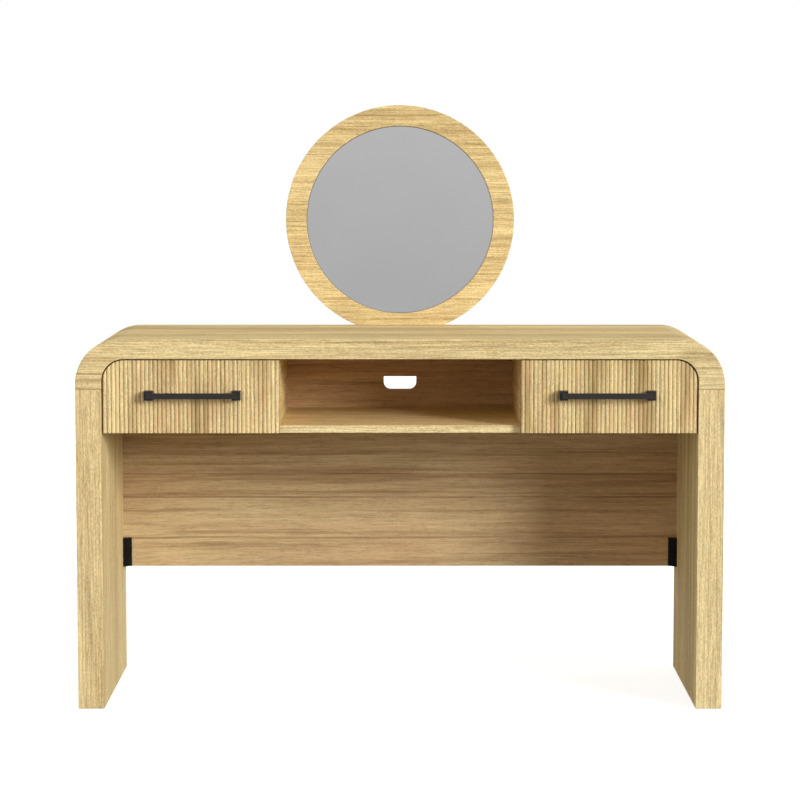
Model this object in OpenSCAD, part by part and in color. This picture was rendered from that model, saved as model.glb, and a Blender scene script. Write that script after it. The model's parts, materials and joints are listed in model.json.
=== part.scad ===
// Dressing table with a round mirror, an open compartment and two reeded drawers.
// X runs along the width, Y from front to rear, Z up. The origin is under the middle on the floor.

/* [Table] */
// Width over the two leg panels
table_w = 1300; // [1200:10:1400]
// Depth of the top from its front edge to its rear edge
table_d = 450; // [400:5:500]
// Height of the top's upper face above the floor
table_h = 750; // [720:5:780]
// Thickness of the flat stretch of the top
top_t = 40; // [36:1:46]
// Thickness of each leg panel
leg_t = 52; // [48:1:60]
// Height of the top piece at its sides, from the upper face down to the seam
corner_drop = 100; // [96:1:106]
// Outer radius of the top's curved corners
corner_outer_r = 90; // [70:1:95]
// Inner radius of the top's curved corners
corner_inner_r = 45; // [30:1:50]

/* [Carcass] */
// Thickness of the shelf board and the partitions
board_t = 15; // [15:1:20]
// Clear width of the open compartment
cubby_w = 484; // [420:4:540]
// Clear height between the shelf board and the top
cubby_h = 135; // [128:1:150]
// Thickness of the back panel
back_t = 15; // [15:1:20]
// Distance of the back panel from the rear edge of the top
back_inset = 31; // [20:1:34]
// Height of the back panel's lower edge above the floor
back_bottom = 230; // [150:2:300]
// Width of the cable slot in the back panel
slot_w = 70; // [50:2:100]
// Height of the cable slot
slot_h = 28; // [20:1:36]
// Radius of the cable slot's two lower corners
slot_r = 15; // [4:1:18]
// Distance from the underside of the top down to the cable slot
slot_drop = 68; // [40:1:80]

/* [Drawers] */
// Thickness of a drawer front at the crest of its reeds
front_t = 18; // [16:1:20]
// Distance of the reed crests behind the top's front edge
front_recess = 4; // [0:1:8]
// Gap between a drawer front and the top, and between a drawer front and the leg
front_gap = 2.5; // [1.5:0.5:5]
// Height of a drawer front's lower edge above the underside of the shelf board
front_foot = 1; // [0:0.5:6]
// Number of upright reeds on each drawer front
reed_count = 42; // [20:1:56]
// Height of a reed's crest above the valleys
reed_rise = 2.5; // [1:0.5:3.5]
// Thickness of the drawer box sides and back
side_t = 12; // [12:1:14]
// Height of the drawer box above the shelf board
box_lift = 8; // [4:1:8]
// Space between the drawer box and the underside of the top
box_headroom = 26; // [22:1:44]
// Space between the drawer box and the back panel
box_rear_space = 27; // [10:1:60]
// Thickness of the drawer bottom
bottom_t = 4; // [3:1:6]
// Height of the drawer bottom above the lower edge of the box sides
bottom_rise = 8; // [6:1:8]
// Depth of the grooves that hold the drawer bottom
groove_depth = 5; // [3:1:6]
// Air between the edge of the drawer bottom and the floor of its groove
groove_air = 0.5; // [0.2:0.1:1]

/* [Handles] */
// Overall length of a handle
handle_len = 192; // [128:4:256]
// Width of a handle's end posts
post_w = 16.5; // [14:0.5:20]
// Height of a handle's end posts
post_h = 18.5; // [16:0.5:22]
// Height and depth of the handle's bar
bar_size = 11; // [8:1:14]
// Distance of the bar's ends from the outer faces of the posts
bar_inset = 4; // [0:0.5:6]
// Depth to which the bar is let into the posts
bar_seat = 2; // [1:0.5:6]
// How far a handle stands out from the reed crests
handle_reach = 32; // [26:1:40]
// Height of the handle above the middle of its drawer front
handle_rise = 3.75; // [0:0.25:20]
// Distance of the handle from the middle of its front, towards the open compartment
handle_shift = 4; // [0:1:12]

/* [Runners] */
// Height of a runner's cabinet channel
runner_h = 35; // [34:1:40]
// Space between the drawer box and the wall on each side
runner_space = 12.5; // [12.5:0.1:14]
// Distance of the runners behind the front edges of the partitions
runner_setback = 3; // [1:1:6]
// Height of the runner's centre line above the shelf board
runner_rise = 24; // [22:1:28]
// Thickness of the runner's steel sheet
sheet_t = 1.2; // [1:0.1:1.4]
// Diameter of the bearing balls
ball_d = 3.5; // [3:0.1:3.6]
// Play between a ball and each part that it runs on
ball_play = 0.15; // [0.1:0.05:0.2]
// Length of a ball cage
cage_len = 80; // [60:5:80]
// Distance of the runner's stops from its ends
stop_inset = 5; // [2:0.5:20]
// Number of balls along each edge of a cage
balls_per_row = 5; // [3:1:8]

/* [Mirror] */
// Outer radius of the mirror ring
mirror_r = 245; // [240:1:290]
// Width of the mirror ring's face
ring_w = 44; // [40:1:70]
// Thickness of the mirror ring
ring_t = 18; // [16:1:24]
// Depth of the circle that is cut away where the ring stands on the top
mirror_cut = 18; // [14:1:26]
// Thickness of the ring's lip in front of the glass
lip_t = 5; // [3:1:6]
// Width of the rebate that holds the glass
rebate_w = 6; // [4:1:8]
// Thickness of the mirror glass
glass_t = 4; // [3:1:5]
// Distance of each steel strap from the middle
strap_x = 80; // [70:1:84]
// Width of a steel strap
strap_w = 30; // [24:1:34]
// Thickness of a steel strap
strap_t = 3; // [2:0.5:4]
// Reach of a steel strap above and below the top's upper face
strap_reach = 36; // [34:1:38]

/* [Small parts] */
// Width of a corner bracket along the back panel
bracket_w = 18; // [16:1:26]
// Width of a corner bracket along the leg
bracket_d = 14; // [14:1:24]
// Height of a corner bracket
bracket_h = 62; // [50:1:90]
// Wall thickness of a corner bracket
bracket_t = 2.5; // [2:0.5:4]
// Thickness of the glides under the legs
glide_t = 1.5; // [1:0.5:4]
// Radius of the glides
glide_r = 10; // [8:1:14]
// Thickness of the closing bumpers behind the drawer fronts
bumper_t = 1.8; // [1:0.1:3]
// Radius of the closing bumpers
bumper_r = 3.5; // [2:0.5:5]
// Air between a closed drawer's bumpers and the carcass
bumper_air = 0.2; // [0.1:0.1:1]
// Play around screws, dowels and other fitted pieces
play = 0.1; // [0.05:0.05:0.2]

/* [Hidden] */
$fn = 96;

oak_top = [0.85, 0.76, 0.56];
oak_leg = [0.84, 0.75, 0.55];
oak_front = [0.87, 0.77, 0.57];
oak_ring = [0.82, 0.70, 0.46];
oak_shade = [0.69, 0.54, 0.37];
box_board = [0.80, 0.72, 0.58];
beech = [0.82, 0.70, 0.52];
dark_metal = [0.20, 0.20, 0.21];
bracket_black = [0.12, 0.12, 0.12];
mirror_grey = [0.70, 0.70, 0.71];
backing_grey = [0.45, 0.42, 0.38];
steel = [0.72, 0.73, 0.75];
zinc = [0.62, 0.63, 0.65];
bumper_clear = [0.85, 0.86, 0.84];

// Depths are measured from the top's front edge; the whole part is then centred on the origin.
screw_head_t = 2;
handle_out = handle_reach - front_recess;
rear_out = strap_t + screw_head_t;
front_y = -(table_d + rear_out - handle_out) / 2;

// Heights and widths of the carcass
under_z = table_h - top_t;
seam_z = table_h - corner_drop;
shelf_top = under_z - cubby_h;
shelf_bottom = shelf_top - board_t;
shelf_mid = shelf_top - board_t / 2;
inner_x = table_w / 2 - leg_t;
leg_mid = table_w / 2 - leg_t / 2;
partition_x = cubby_w / 2;
partition_mid = partition_x + board_t / 2;
drawer_wall_x = partition_x + board_t;
carcass_front = front_recess + front_t + bumper_t + bumper_air;
back_front = table_d - back_inset - back_t;
back_mid = back_front + back_t / 2;
back_corner_r = corner_inner_r + 1;

// Drawer front and box of the right drawer
front_back = front_recess + front_t;
front_x0 = partition_x;
front_x1 = inner_x - front_gap;
front_z0 = shelf_bottom + front_foot;
front_z1 = under_z - front_gap;
front_corner_r = corner_inner_r - front_gap;
front_mid_x = (front_x0 + front_x1) / 2;
front_mid_z = (front_z0 + front_z1) / 2;
reed_pitch = (front_x1 - front_x0) / reed_count;
reed_r = (reed_pitch * reed_pitch / 4 + reed_rise * reed_rise) / (2 * reed_rise);
box_x0 = drawer_wall_x + runner_space;
box_x1 = inner_x - runner_space;
box_z0 = shelf_top + box_lift;
box_z1 = under_z - box_headroom;
box_rear = back_front - box_rear_space;
bottom_z = box_z0 + bottom_rise;
bottom_hold = groove_depth - groove_air;

// Handle of the right drawer
handle_x = front_mid_x - handle_shift;
handle_z = front_mid_z + handle_rise;
post_x = handle_len / 2 - post_w / 2;
post_front = bar_size - bar_seat - handle_out;
bar_end = handle_len / 2 - bar_inset;

// Runner section: u leads from the wall towards the drawer box, v leads up
small_head_t = 1.6;
small_head_r = 3.4;
small_screw_r = 1.6;
small_screw_len = 12;
member_screw_len = 10;
cage_t = 0.8;
cage_air = 0.4;
ball_edge = 0.45;
ball_bore_air = 0.15;
member_air = 0.6;
lip_air = 1.1;
runner_z = shelf_top + runner_rise;
runner_front = carcass_front + runner_setback;
runner_len = box_rear - runner_front;
ball_r = ball_d / 2;
ball_v = runner_h / 2 - sheet_t - ball_play - ball_r;
member_v = ball_v - ball_r - ball_play;
cage_u = sheet_t + small_head_t + cage_air;
member_u = cage_u + cage_t + member_air;
ball_u = cage_u + cage_t + ball_edge + ball_r;
cage_end_u = ball_u + ball_r + ball_bore_air + ball_edge;
lip_u = cage_end_u + cage_air;
lip_v = member_v + lip_air;
channel_u = lip_u + sheet_t;
cage_front = runner_front + (runner_len - cage_len) / 2;
channel_stop_t = runner_front + stop_inset - play;
member_stop_t = box_rear - stop_inset + play;
stop_v = [5, 10];
runner_screw_end = 12;
runner_screws = [runner_screw_end, runner_len / 2, runner_len - runner_screw_end];

// Mirror, standing at the rear edge of the top
mirror_z = table_h + mirror_r - mirror_cut;
sight_r = mirror_r - ring_w;
mirror_front = table_d - ring_t;
rebate_r = sight_r + rebate_w;
backing_t = ring_t - lip_t - glass_t;

// Fasteners
dowel_r = 4;
dowel_half = 15;
seam_dowel_half = 20;
box_dowel_r = 3;
box_dowel_in = 8;
box_dowel_out = 20;
box_dowel_edge = 20;
box_dowel_zs = [bottom_z + bottom_t + box_dowel_edge, box_z1 - box_dowel_edge];
cam_inset = board_t / 2;
cam_r = 7.4;
cam_depth = 12.5;
cam_reach = 24;
cam_thread_r = 3.4;
cam_thread_len = 11;
cam_shaft_r = 2.5;
cam_passage_r = 3.8;
cam_head_t = 3;
cam_slot = [0.6, 4, 1];
screw_r = 2.2;
screw_head_r = 4.2;
screw_cone = 3;
screw_len = 45;
screw_tip = 4;
screw_tip_r = 0.4;
drive_w = 0.8;
drive_depth = 0.7;
drive_reach = 0.6;
strap_screw_len = 15;
handle_screw_r = 2;
handle_screw_len = 30;
handle_head_r = 4;
handle_head_t = 2.4;
bracket_head_r = 2.6;
bracket_head_t = 1.4;
bracket_panel_rows = [0.25, 0.75];
bracket_leg_rows = [0.42, 0.58];
glide_pin_r = 2.5;
glide_pin_len = 12;
glide_chamfer = 0.6;
bumper_taper = 0.5;
bumper_low = 16;
bumper_high = 6;
joint_front = 56;
joint_rear = 28;
joint_ts = [joint_front, back_front - joint_rear];
carcass_mid_t = (carcass_front + back_front) / 2;
seam_cam_in = 15;
seam_cam_ts = [carcass_front + seam_cam_in, back_front - seam_cam_in];
seam_dowel_in = 80;
seam_dowel_ts = [seam_dowel_in, table_d / 2, table_d - seam_dowel_in];
glide_in = 35;
glide_ts = [glide_in, table_d - glide_in];
shelf_dowel_shift = 3;
back_dowel_xs = [150, 450];
back_dowel_rises = [122, 292];
mirror_dowel_x = 40;
back_screw_xs = [120, 480];
partition_screw_rises = [24, 74];
partition_screw_in = 95;
partition_screw_ts = [carcass_front + partition_screw_in, back_front - partition_screw_in];
strap_screw_zs = [-24, -9, 11, 24];
clip_angles = [-20, 24, 68, 112, 156, 200];
clip_len = 28;
clip_w = 12;
clip_t = 1.2;
clip_hold = 6;

module in_frame() {
    translate([0, front_y, 0]) children();
}

module both_sides() {
    children();
    mirror([1, 0, 0]) children();
}

// Carries an outline drawn in X and Z from one depth towards the rear
module along_depth(from, len) {
    translate([0, from + len, 0]) rotate([90, 0, 0]) linear_extrude(height = len) children();
}

module block(x, t, z) {
    translate([x[0], t[0], z[0]]) cube([x[1] - x[0], t[1] - t[0], z[1] - z[0]]);
}

// Outline with a flat foot, upright sides and two round upper corners
module arch(half_w, z0, z1, r) {
    translate([-half_w, z0]) square([2 * half_w, z1 - r - z0]);
    translate([-half_w + r, z0]) square([2 * (half_w - r), z1 - z0]);
    for (s = [-1, 1]) intersection() {
        translate([s * (half_w - r), z1 - r]) circle(r = r);
        translate([-half_w, z0]) square([2 * half_w, z1 - z0]);
    }
}

// Fastener shapes: the joint face is at height 0, and the piece that receives lies above it
module peg(r, below, above) {
    translate([0, 0, -below]) cylinder(r = r, h = below + above);
}

module cam_bolt() {
    peg(cam_thread_r, 0, cam_thread_len);
    peg(cam_shaft_r, cam_reach, 0);
    translate([0, 0, -cam_reach - cam_head_t / 2]) cylinder(r = cam_thread_r, h = cam_head_t);
}

module cam_bolt_hole() {
    peg(cam_thread_r + play, 0, cam_thread_len + play);
    peg(cam_passage_r, cam_reach + cam_head_t, 0);
}

module cam_lock_hole() {
    translate([cam_inset - cam_depth - play, 0, -cam_reach]) rotate([0, 90, 0])
        cylinder(r = cam_r + play, h = cam_depth + play + 1);
}

// Cross-slotted round lock with a passage for the bolt's head
module cam_lock() {
    difference() {
        translate([cam_inset - cam_depth, 0, -cam_reach]) rotate([0, 90, 0])
            cylinder(r = cam_r, h = cam_depth);
        peg(cam_passage_r, cam_reach + cam_head_t, 0);
        for (a = [0, 90]) translate([cam_inset - cam_slot[2], 0, -cam_reach]) rotate([a, 0, 0])
            translate([0, -cam_slot[0], -cam_slot[1]])
                cube([2 * cam_slot[2], 2 * cam_slot[0], 2 * cam_slot[1]]);
    }
}

// Countersunk screw that starts at height 0 and runs up
module wood_screw(gap = 0) {
    translate([0, 0, -gap]) cylinder(r1 = screw_head_r + gap, r2 = screw_r + gap, h = screw_cone + gap);
    cylinder(r = screw_r + gap, h = screw_len - screw_tip);
    translate([0, 0, screw_len - screw_tip])
        cylinder(r1 = screw_r + gap, r2 = screw_tip_r + gap, h = screw_tip);
}

// Round-headed screw: its head stands below height 0 and its shank runs up
module head_screw(r, len, head_r, head_t, gap = 0) {
    if (gap == 0) difference() {
        translate([0, 0, -head_t]) cylinder(r = head_r, h = head_t);
        for (a = [0, 90]) rotate([0, 0, a]) translate([-drive_w / 2, -head_r * drive_reach, -head_t - 1])
            cube([drive_w, 2 * head_r * drive_reach, 1 + drive_depth]);
    }
    cylinder(r = r + gap, h = len + gap);
}

module screw_bore(r, len) head_screw(r, len, 0, 0, play);

// Places of the fasteners on the right side
module at_seam_dowels() for (t = seam_dowel_ts) translate([leg_mid, t, seam_z]) children();
module at_seam_cams() for (t = seam_cam_ts)
    translate([inner_x + cam_inset, t, seam_z]) rotate([0, 0, 180]) children();
module at_shelf_cams() for (t = joint_ts) translate([inner_x, t, shelf_mid]) rotate([0, 90, 0]) children();
module at_partition_cams() for (t = joint_ts) translate([partition_mid, t, under_z]) children();

module at_cams() {
    at_seam_cams() children();
    at_shelf_cams() children();
    at_partition_cams() children();
}

module at_carcass_dowels() {
    translate([partition_mid, carcass_mid_t, under_z]) children();
    translate([inner_x, carcass_mid_t, shelf_mid]) rotate([0, 90, 0]) children();
    for (t = joint_ts) translate([partition_mid, t, shelf_top + shelf_dowel_shift]) children();
    for (x = back_dowel_xs) translate([x, back_mid, under_z]) children();
    for (z = back_dowel_rises)
        translate([inner_x, back_mid, back_bottom + z]) rotate([0, 90, 0]) children();
    translate([mirror_dowel_x, mirror_front + ring_t / 2, table_h]) children();
}

module at_carcass_screws() {
    for (t = partition_screw_ts) translate([partition_mid, t, shelf_bottom]) children();
    for (x = back_screw_xs) translate([x, back_front + back_t, shelf_mid]) rotate([90, 0, 0]) children();
    for (z = partition_screw_rises)
        translate([partition_mid, back_front + back_t, shelf_top + z]) rotate([90, 0, 0]) children();
}

module at_bracket_screws() {
    for (row = bracket_panel_rows)
        translate([inner_x - (bracket_w + bracket_t) / 2, back_front - bracket_t,
            back_bottom + bracket_h * row]) rotate([-90, 0, 0]) children();
    for (row = bracket_leg_rows)
        translate([inner_x - bracket_t, back_front - (bracket_d + bracket_t) / 2,
            back_bottom + bracket_h * row]) rotate([0, 90, 0]) children();
}

module at_strap_screws() for (z = strap_screw_zs)
    translate([strap_x, table_d + strap_t, table_h + z]) rotate([90, 0, 0]) children();

module at_glides() for (t = glide_ts) translate([leg_mid, t, glide_t]) children();

// Runner section at the leg or at the partition, with u and v as X and Z
module at_runner(outer) {
    if (outer) translate([inner_x, 0, runner_z]) mirror([1, 0, 0]) children();
    else translate([drawer_wall_x, 0, runner_z]) children();
}

module at_channel_screws(outer) at_runner(outer) for (t = runner_screws)
    translate([sheet_t, runner_front + t, 0]) rotate([0, -90, 0]) children();

module at_member_screws(outer) at_runner(outer) for (t = runner_screws)
    translate([runner_space - sheet_t, runner_front + t, 0]) rotate([0, 90, 0]) children();

module channel_screw_bores(outer) at_channel_screws(outer) screw_bore(small_screw_r, small_screw_len);
module member_screw_bores(outer) at_member_screws(outer) screw_bore(small_screw_r, member_screw_len);

// Bores that go through or into the large boards
module dowel_bores() both_sides() at_carcass_dowels()
    peg(dowel_r + play, dowel_half + play, dowel_half + play);
module seam_dowel_bores() both_sides() at_seam_dowels()
    peg(dowel_r + play, seam_dowel_half + play, seam_dowel_half + play);
module carcass_screw_bores() both_sides() at_carcass_screws() wood_screw(play);
module bracket_screw_bores() both_sides() at_bracket_screws() screw_bore(small_screw_r, small_screw_len);
module strap_screw_bores() both_sides() at_strap_screws() screw_bore(screw_r, strap_screw_len);

module tabletop() color(oak_top) in_frame() difference() {
    along_depth(0, table_d) difference() {
        arch(table_w / 2, seam_z, table_h, corner_outer_r);
        arch(inner_x, seam_z - 1, under_z, corner_inner_r);
    }
    seam_dowel_bores();
    dowel_bores();
    strap_screw_bores();
    both_sides() {
        at_seam_cams() cam_bolt_hole();
        at_partition_cams() cam_bolt_hole();
    }
}

module leg_panel() color(oak_leg) in_frame() difference() {
    block([inner_x, table_w / 2], [0, table_d], [glide_t, seam_z]);
    seam_dowel_bores();
    dowel_bores();
    bracket_screw_bores();
    channel_screw_bores(true);
    at_seam_cams() cam_bolt_hole();
    at_seam_cams() cam_lock_hole();
    at_shelf_cams() cam_bolt_hole();
    at_glides() peg(glide_pin_r + play, 0, glide_pin_len + play);
}

module leg_panel_left() mirror([1, 0, 0]) leg_panel();
module leg_panel_right() leg_panel();

module shelf_board() color(oak_top) in_frame() difference() {
    block([-inner_x, inner_x], [carcass_front, back_front], [shelf_bottom, shelf_top]);
    dowel_bores();
    carcass_screw_bores();
    both_sides() at_shelf_cams() cam_bolt_hole();
    both_sides() at_shelf_cams() cam_lock_hole();
}

module partition() color(oak_front) in_frame() difference() {
    block([partition_x, drawer_wall_x], [carcass_front, back_front], [shelf_top, under_z]);
    dowel_bores();
    carcass_screw_bores();
    channel_screw_bores(false);
    at_partition_cams() cam_bolt_hole();
    at_partition_cams() cam_lock_hole();
}

module partition_left() mirror([1, 0, 0]) partition();
module partition_right() partition();

// Slot with a straight upper edge and two round lower corners
module cable_slot() {
    z1 = under_z - slot_drop;
    translate([-slot_w / 2, z1 - slot_h + slot_r]) square([slot_w, slot_h - slot_r]);
    translate([-slot_w / 2 + slot_r, z1 - slot_h]) square([slot_w - 2 * slot_r, slot_h]);
    for (s = [-1, 1]) intersection() {
        translate([s * (slot_w / 2 - slot_r), z1 - slot_h + slot_r]) circle(r = slot_r);
        translate([-slot_w / 2, z1 - slot_h]) square([slot_w, slot_h]);
    }
}

module back_panel() color(oak_shade) in_frame() difference() {
    along_depth(back_front, back_t) difference() {
        arch(inner_x, back_bottom, under_z, back_corner_r);
        cable_slot();
    }
    dowel_bores();
    carcass_screw_bores();
    bracket_screw_bores();
}

// Angle with a flange on the back panel, a flange on the leg and a gusset at each end
module corner_bracket() color(bracket_black) in_frame() difference() {
    union() {
        block([inner_x - bracket_w, inner_x], [back_front - bracket_t, back_front],
            [back_bottom, back_bottom + bracket_h]);
        block([inner_x - bracket_t, inner_x], [back_front - bracket_d, back_front],
            [back_bottom, back_bottom + bracket_h]);
        for (z = [0, bracket_h - bracket_t]) translate([inner_x, back_front, back_bottom + z])
            linear_extrude(height = bracket_t) polygon([[0, 0], [-bracket_w, 0], [0, -bracket_d]]);
    }
    at_bracket_screws() screw_bore(small_screw_r, small_screw_len);
}

module corner_bracket_left() mirror([1, 0, 0]) corner_bracket();
module corner_bracket_right() corner_bracket();
module bracket_screws() color(dark_metal) in_frame() both_sides() at_bracket_screws()
    head_screw(small_screw_r, small_screw_len, bracket_head_r, bracket_head_t);

module glides() color(bracket_black) in_frame() both_sides() at_glides() {
    peg(glide_pin_r, 0, glide_pin_len);
    translate([0, 0, -glide_t]) cylinder(r1 = glide_r - glide_chamfer, r2 = glide_r, h = glide_t);
}

module seam_dowels() color(beech) in_frame() both_sides() at_seam_dowels()
    peg(dowel_r, seam_dowel_half, seam_dowel_half);
module carcass_dowels() color(beech) in_frame() both_sides() at_carcass_dowels()
    peg(dowel_r, dowel_half, dowel_half);
module cam_bolts() color(steel) in_frame() both_sides() at_cams() cam_bolt();
module cam_locks() color(zinc) in_frame() both_sides() at_cams() cam_lock();
module carcass_screws() color(zinc) in_frame() both_sides() at_carcass_screws() wood_screw();

// Ring with a flat cut where it stands on the top and a rebate for glass and backing
module mirror_ring() color(oak_ring) in_frame() difference() {
    along_depth(mirror_front, ring_t) difference() {
        translate([0, mirror_z]) circle(r = mirror_r);
        translate([0, mirror_z]) circle(r = sight_r);
        translate([-mirror_r, mirror_z - mirror_r - 1]) square([2 * mirror_r, mirror_cut + 1]);
    }
    along_depth(mirror_front + lip_t, ring_t) translate([0, mirror_z]) circle(r = rebate_r);
    dowel_bores();
    strap_screw_bores();
    at_clips() translate([0, 0, clip_t]) mirror([0, 0, 1]) screw_bore(small_screw_r, small_screw_len);
}

module mirror_glass() color(mirror_grey) in_frame() along_depth(mirror_front + lip_t, glass_t)
    translate([0, mirror_z]) circle(r = rebate_r - 3 * play);
module mirror_backing() color(backing_grey) in_frame()
    along_depth(mirror_front + lip_t + glass_t, backing_t)
        translate([0, mirror_z]) circle(r = rebate_r - 3 * play);

// Clip frame: the ring's rear face is at height 0 and the screw is on its axis
module at_clips() for (a = clip_angles) translate([0, table_d, mirror_z]) rotate([0, -a, 0])
    translate([rebate_r - clip_hold + clip_len / 2, 0, 0]) rotate([-90, 0, 0]) children();

module backing_clips() color(steel) in_frame() at_clips() difference() {
    translate([-clip_len / 2, -clip_w / 2, 0]) cube([clip_len, clip_w, clip_t]);
    translate([0, 0, -1]) cylinder(r = small_screw_r + play, h = clip_t + 2);
}

module clip_screws() color(zinc) in_frame() at_clips() translate([0, 0, clip_t]) mirror([0, 0, 1])
    head_screw(small_screw_r, small_screw_len, small_head_r, small_head_t);

// Flat strap with round ends
module mirror_strap() color(steel) in_frame() difference() {
    along_depth(table_d, strap_t) translate([strap_x, table_h]) {
        translate([-strap_w / 2, -strap_reach + strap_w / 2]) square([strap_w, 2 * strap_reach - strap_w]);
        for (s = [-1, 1]) translate([0, s * (strap_reach - strap_w / 2)]) circle(r = strap_w / 2);
    }
    at_strap_screws() screw_bore(screw_r, strap_screw_len);
}

module mirror_strap_left() mirror([1, 0, 0]) mirror_strap();
module mirror_strap_right() mirror_strap();
module strap_screws() color(zinc) in_frame() both_sides() at_strap_screws()
    head_screw(screw_r, strap_screw_len, screw_head_r, screw_head_t);

// Cabinet channel: a web on the wall, two flanges, a lip on each that keeps the balls in,
// and a tongue that the cage meets when the drawer is fully open
module channel(outer) color(steel) in_frame() difference() {
    at_runner(outer) {
        along_depth(runner_front, runner_len) difference() {
            translate([0, -runner_h / 2]) square([channel_u, runner_h]);
            translate([sheet_t, -runner_h / 2 + sheet_t])
                square([lip_u - sheet_t, runner_h - 2 * sheet_t]);
            translate([lip_u - 1, -lip_v]) square([sheet_t + 2, 2 * lip_v]);
        }
        block([sheet_t / 2, cage_u + cage_t], [channel_stop_t - sheet_t, channel_stop_t], stop_v);
    }
    channel_screw_bores(outer);
}

module channel_left_outer() mirror([1, 0, 0]) channel(true);
module channel_left_inner() mirror([1, 0, 0]) channel(false);
module channel_right_inner() channel(false);
module channel_right_outer() channel(true);
module channel_screws() color(zinc) in_frame() both_sides() for (outer = [true, false])
    at_channel_screws(outer) head_screw(small_screw_r, small_screw_len, small_head_r, small_head_t);

// Drawer member: a smaller channel on the box side, open towards the wall, with two hooks
// that meet the rear end of the cage when the drawer is fully open
module member(outer) color(steel) in_frame() difference() {
    at_runner(outer) {
        along_depth(runner_front, runner_len) difference() {
            translate([member_u, -member_v]) square([runner_space - member_u, 2 * member_v]);
            translate([member_u - 1, -member_v + sheet_t])
                square([runner_space - sheet_t - member_u + 1, 2 * (member_v - sheet_t)]);
        }
        for (v = [-member_v, member_v - sheet_t])
            block([cage_u, member_u + sheet_t], [member_stop_t, member_stop_t + sheet_t], [v, v + sheet_t]);
    }
    member_screw_bores(outer);
}

function ball_ts() = [for (i = [0:balls_per_row - 1]) cage_front + cage_len * (i + 0.5) / balls_per_row];

module at_balls(outer) at_runner(outer) for (s = [-1, 1], t = ball_ts())
    translate([ball_u, t, s * ball_v]) children();

// Ball cage: a web between two flanges that are bored for the balls
module cage(outer) color(zinc) in_frame() difference() {
    at_runner(outer) along_depth(cage_front, cage_len) {
        translate([cage_u, -ball_v]) square([cage_t, 2 * ball_v]);
        for (s = [-1, 1]) translate([cage_u, s * ball_v - cage_t / 2]) square([cage_end_u - cage_u, cage_t]);
    }
    at_balls(outer) peg(ball_r + ball_bore_air, cage_t, cage_t);
}

module balls() color(steel) in_frame() for (outer = [true, false]) at_balls(outer) sphere(r = ball_r);

// Reeded front: a row of round reeds on a board whose outer upper corner follows the top's corner
module drawer_front() color(oak_front) in_frame() difference() {
    intersection() {
        translate([0, 0, front_z0]) linear_extrude(height = front_z1 - front_z0) union() {
            translate([front_x0, front_recess + reed_rise])
                square([front_x1 - front_x0, front_t - reed_rise]);
            for (i = [0:reed_count - 1])
                translate([front_x0 + (i + 0.5) * reed_pitch, front_recess + reed_r]) circle(r = reed_r);
        }
        along_depth(front_recess - 1, front_t + 2) {
            translate([front_x0, front_z0])
                square([front_x1 - front_x0, front_z1 - front_z0 - front_corner_r]);
            translate([front_x0, front_z0])
                square([front_x1 - front_x0 - front_corner_r, front_z1 - front_z0]);
            translate([front_x1 - front_corner_r, front_z1 - front_corner_r]) circle(r = front_corner_r);
        }
    }
    block([box_x0 + side_t - groove_depth, box_x1 - side_t + groove_depth],
        [front_back - groove_depth, front_back + 1], [bottom_z, bottom_z + bottom_t]);
    box_dowel_bores();
    at_handle_screws() screw_bore(handle_screw_r, handle_screw_len);
}

module drawer_side(x0, groove_x, outer) color(box_board) in_frame() difference() {
    block([x0, x0 + side_t], [front_back, box_rear], [box_z0, box_z1]);
    block([groove_x, groove_x + groove_depth + 1],
        [front_back - 1, box_rear - side_t + groove_depth], [bottom_z, bottom_z + bottom_t]);
    box_dowel_bores();
    member_screw_bores(outer);
}

module drawer_side_outer() drawer_side(box_x1 - side_t, box_x1 - side_t - 1, true);
module drawer_side_inner() drawer_side(box_x0, box_x0 + side_t - groove_depth, false);

module drawer_back() color(box_board) in_frame() difference() {
    block([box_x0 + side_t, box_x1 - side_t], [box_rear - side_t, box_rear], [box_z0, box_z1]);
    block([box_x0, box_x1], [box_rear - side_t - 1, box_rear - side_t + groove_depth],
        [bottom_z, bottom_z + bottom_t]);
    box_dowel_bores();
}

module drawer_bottom() color(box_board) in_frame()
    block([box_x0 + side_t - bottom_hold, box_x1 - side_t + bottom_hold],
        [front_back - bottom_hold, box_rear - side_t + bottom_hold], [bottom_z, bottom_z + bottom_t]);

// Two dowels at each corner of the box: the short end is in the front or in a side
module at_box_dowels() for (z = box_dowel_zs) {
    for (x = [box_x0 + side_t / 2, box_x1 - side_t / 2])
        translate([x, front_back, z]) rotate([-90, 0, 0]) children();
    translate([box_x0 + side_t, box_rear - side_t / 2, z]) rotate([0, 90, 0]) children();
    translate([box_x1 - side_t, box_rear - side_t / 2, z]) rotate([0, -90, 0]) children();
}

module box_dowel_bores() at_box_dowels() peg(box_dowel_r + play, box_dowel_in + play, box_dowel_out + play);
module drawer_dowels() color(beech) in_frame() at_box_dowels() peg(box_dowel_r, box_dowel_in, box_dowel_out);

module at_handle_screws() for (s = [-1, 1])
    translate([handle_x + s * post_x, front_back, handle_z]) rotate([90, 0, 0]) children();

// Square bar let into the faces of two posts, which are drilled from behind for the screws
module drawer_handle() color(dark_metal) in_frame() difference() {
    union() {
        for (s = [-1, 1])
            block([handle_x + s * post_x - post_w / 2, handle_x + s * post_x + post_w / 2],
                [post_front, front_recess], [handle_z - post_h / 2, handle_z + post_h / 2]);
        block([handle_x - bar_end, handle_x + bar_end], [-handle_out, bar_size - handle_out],
            [handle_z - bar_size / 2, handle_z + bar_size / 2]);
    }
    at_handle_screws() screw_bore(handle_screw_r, handle_screw_len);
}

module handle_screws() color(zinc) in_frame() at_handle_screws()
    head_screw(handle_screw_r, handle_screw_len, handle_head_r, handle_head_t);
module runner_screw_set() color(zinc) in_frame() for (outer = [true, false])
    at_member_screws(outer) head_screw(small_screw_r, member_screw_len, small_head_r, small_head_t);

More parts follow.
